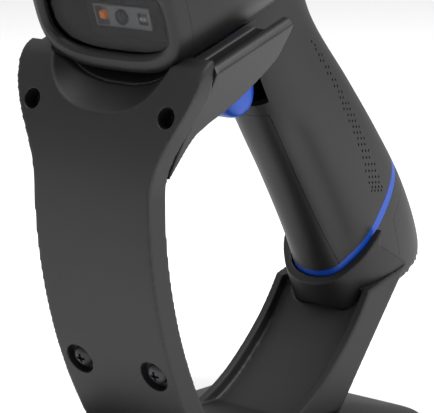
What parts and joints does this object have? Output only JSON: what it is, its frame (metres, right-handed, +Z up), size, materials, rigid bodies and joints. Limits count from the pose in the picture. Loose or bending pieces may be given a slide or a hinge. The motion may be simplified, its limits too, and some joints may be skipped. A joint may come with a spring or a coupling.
{
  "type": "handheld barcode scanner in hands-free stand",
  "caption": "Black cordless pistol-grip barcode scanner with blue trigger and ring, docked nose down in a weighted hands-free stand with a broad front blade and a slanted rear arm.",
  "frame": {"origin": "centre of the base's footprint on the table", "axes": "+Z up, -Y towards the customer (the way the nose looks), X is the plane of symmetry's normal"},
  "size_m": [0.095, 0.1779, 0.2187],
  "materials": {
    "stand_plastic": "fine spark-eroded matt black ABS",
    "scanner_plastic": "matt black polycarbonate and ABS",
    "blue_plastic": "satin blue ABS",
    "rubber": "black silicone rubber",
    "tinted_window": "clear hard-coated acrylic with a light smoke tint",
    "lens_glass": "coated lens",
    "amber_led": "clear amber resin",
    "white_led": "milky resin",
    "engine_metal": "die-cast, bead-blasted",
    "engine_black": "black glass-filled nylon",
    "light_pipe": "frosted polycarbonate",
    "zinc_steel": "zinc-plated steel",
    "black_steel": "black-oxide steel",
    "spring_steel": "drawn spring wire",
    "nickel_magnet": "nickel-plated magnet",
    "circuit_board": "green solder mask on glass-epoxy",
    "battery_sleeve": "shrink sleeve over a steel can",
    "contact_brass": "gold-flashed strip"
  },
  "bodies": {
    "stand": {"base_cover": "stand_plastic", "base_weight": "zinc_steel", "base_feet": "rubber", "base_screws": "zinc_steel", "stand_bolts": "zinc_steel", "front_blade": "stand_plastic", "blade_spine": "stand_plastic", "blade_screws": "black_steel", "cradle": "stand_plastic", "cradle_screws": "black_steel", "presence_magnet": "nickel_magnet", "rear_arm": "stand_plastic", "handle_cup": "stand_plastic"},
    "scanner": {"nose_bezel": "scanner_plastic", "window_gasket": "rubber", "scan_window": "tinted_window", "imager_engine": "engine_metal", "imager_lens": "lens_glass", "aimer_led": "amber_led", "illumination_led": "white_led", "engine_bracket": "engine_black", "top_cover": "scanner_plastic", "main_housing": "scanner_plastic", "grip_front": "scanner_plastic", "housing_screws": "zinc_steel", "main_board": "circuit_board", "board_screws": "zinc_steel", "beeper": "engine_black", "status_light": "light_pipe", "trigger_pin": "zinc_steel", "trigger_spring": "spring_steel", "switch_board": "circuit_board", "trigger_switch": "engine_black", "accent_ring": "blue_plastic", "end_cap": "scanner_plastic", "battery_door": "scanner_plastic", "battery": "battery_sleeve", "battery_contacts": "contact_brass"},
    "trigger": {"trigger": "blue_plastic"},
    "switch_button": {"switch_button": "white_led"}
  },
  "joints": [
    {"name": "scanner_lift", "type": "slide", "parent": "stand", "child": "scanner", "axis": [0, 0, 1], "range_m": [0, 0.14]},
    {"name": "trigger_pull", "type": "hinge", "parent": "scanner", "child": "trigger", "pos_m": [0, -0.01023, 0.16872], "axis": [1, 0, 0], "range_deg": [0, 6], "stiffness_Nm_per_rad": 1, "springref_deg": -4.01, "deforming": ["trigger_spring"]},
    {"name": "switch_press", "type": "slide", "parent": "scanner", "child": "switch_button", "axis": [0, 0.9511, 0.309], "range_m": [0, 0.0013]}
  ],
  "couplings": [
    {"joint": "switch_press", "follows": "trigger_pull", "m_per_rad": 0.012}
  ]
}
